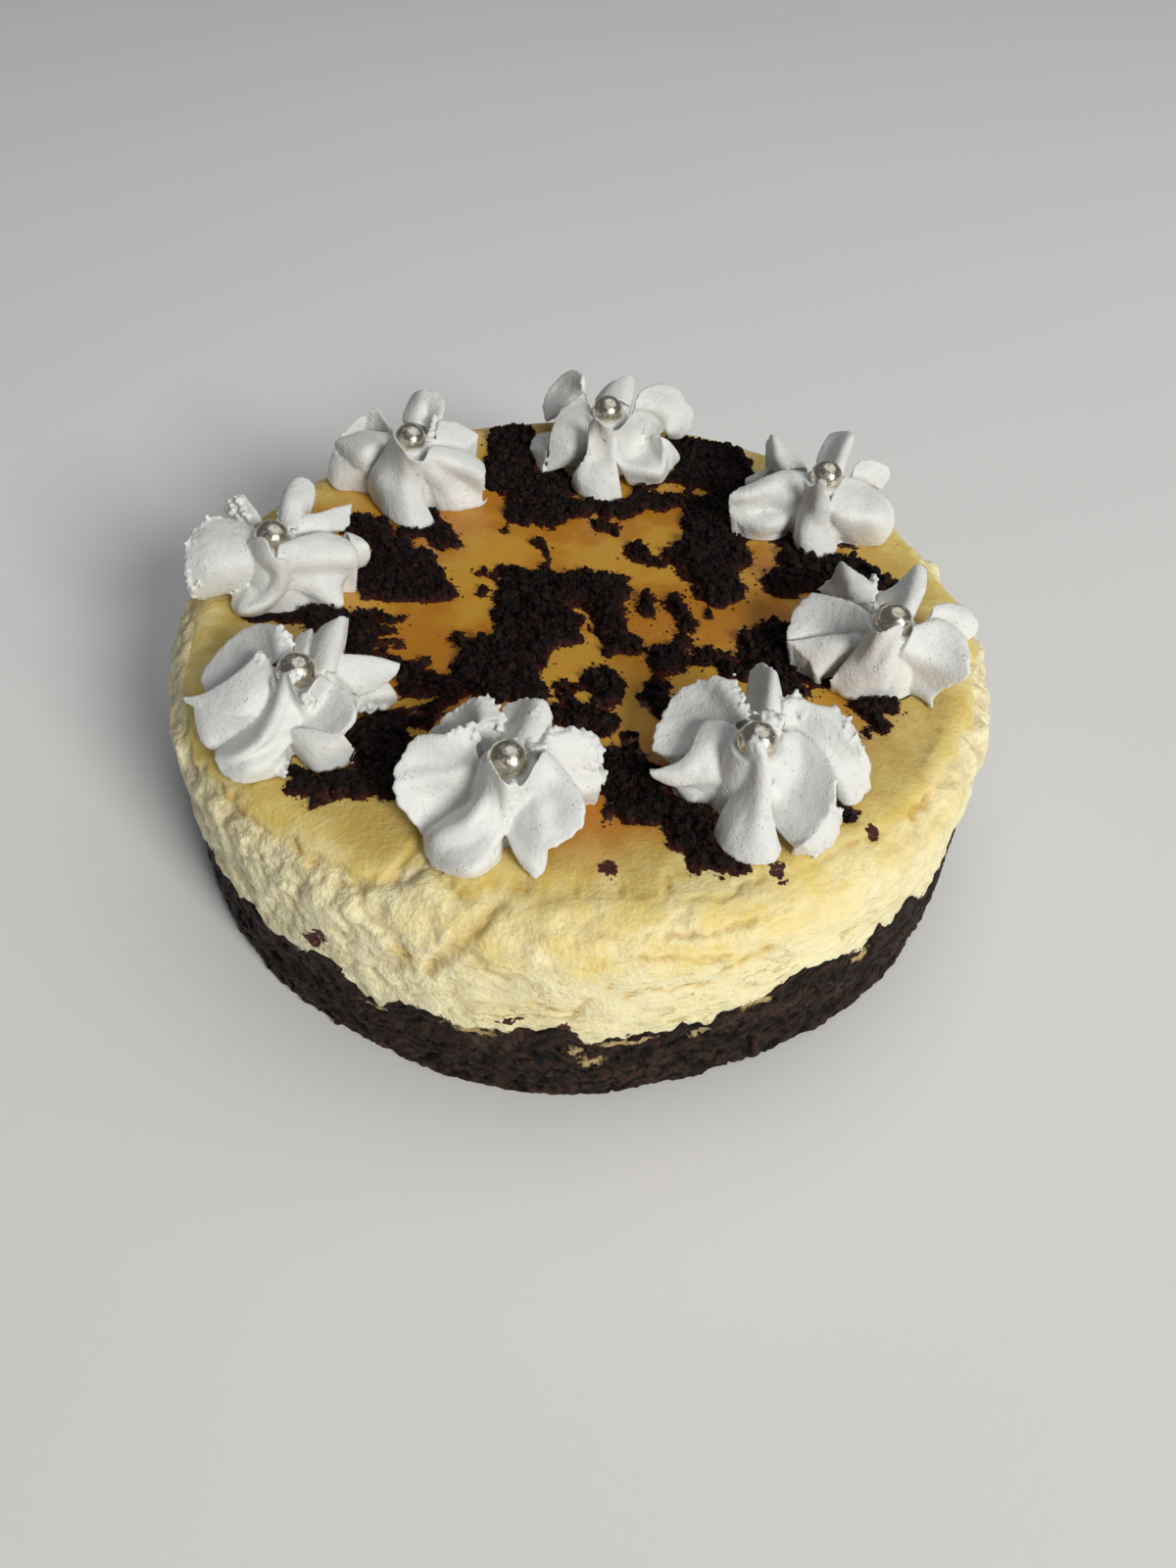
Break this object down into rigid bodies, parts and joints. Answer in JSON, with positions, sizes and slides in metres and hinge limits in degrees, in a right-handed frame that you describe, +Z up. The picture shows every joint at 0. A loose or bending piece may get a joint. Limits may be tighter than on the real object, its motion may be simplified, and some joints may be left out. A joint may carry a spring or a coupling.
{
  "type": "cheesecake",
  "caption": "Round small cheesecake on a dark brownie base, topped with brownie crumbs, a ring of piped white cream flowers and silver sugar pearls.",
  "frame": {"origin": "middle of the flat underside of the brownie base", "axes": "+Z up; -Y is the side that faces the viewer of the picture, +X is the viewer's right"},
  "size_m": [0.1532, 0.1536, 0.0579],
  "materials": {
    "brownie": "matt porous dark brownie",
    "cheese": "baked pale yellow cheesecake, golden on top",
    "cream": "soft satin whipped cream",
    "silver_sugar": "silver-coated sugar, slightly warm"
  },
  "bodies": {
    "root": {"brownie_base": "brownie", "cheese_layer": "cheese", "flower_front": "cream", "flower_front_right": "cream", "flower_right": "cream", "flower_back_right": "cream", "flower_back": "cream", "flower_back_left": "cream", "flower_left": "cream", "flower_front_left": "cream", "pearl_front": "silver_sugar", "pearl_front_right": "silver_sugar", "pearl_right": "silver_sugar", "pearl_back_right": "silver_sugar", "pearl_back": "silver_sugar", "pearl_back_left": "silver_sugar", "pearl_left": "silver_sugar", "pearl_front_left": "silver_sugar"}
  },
  "joints": []
}
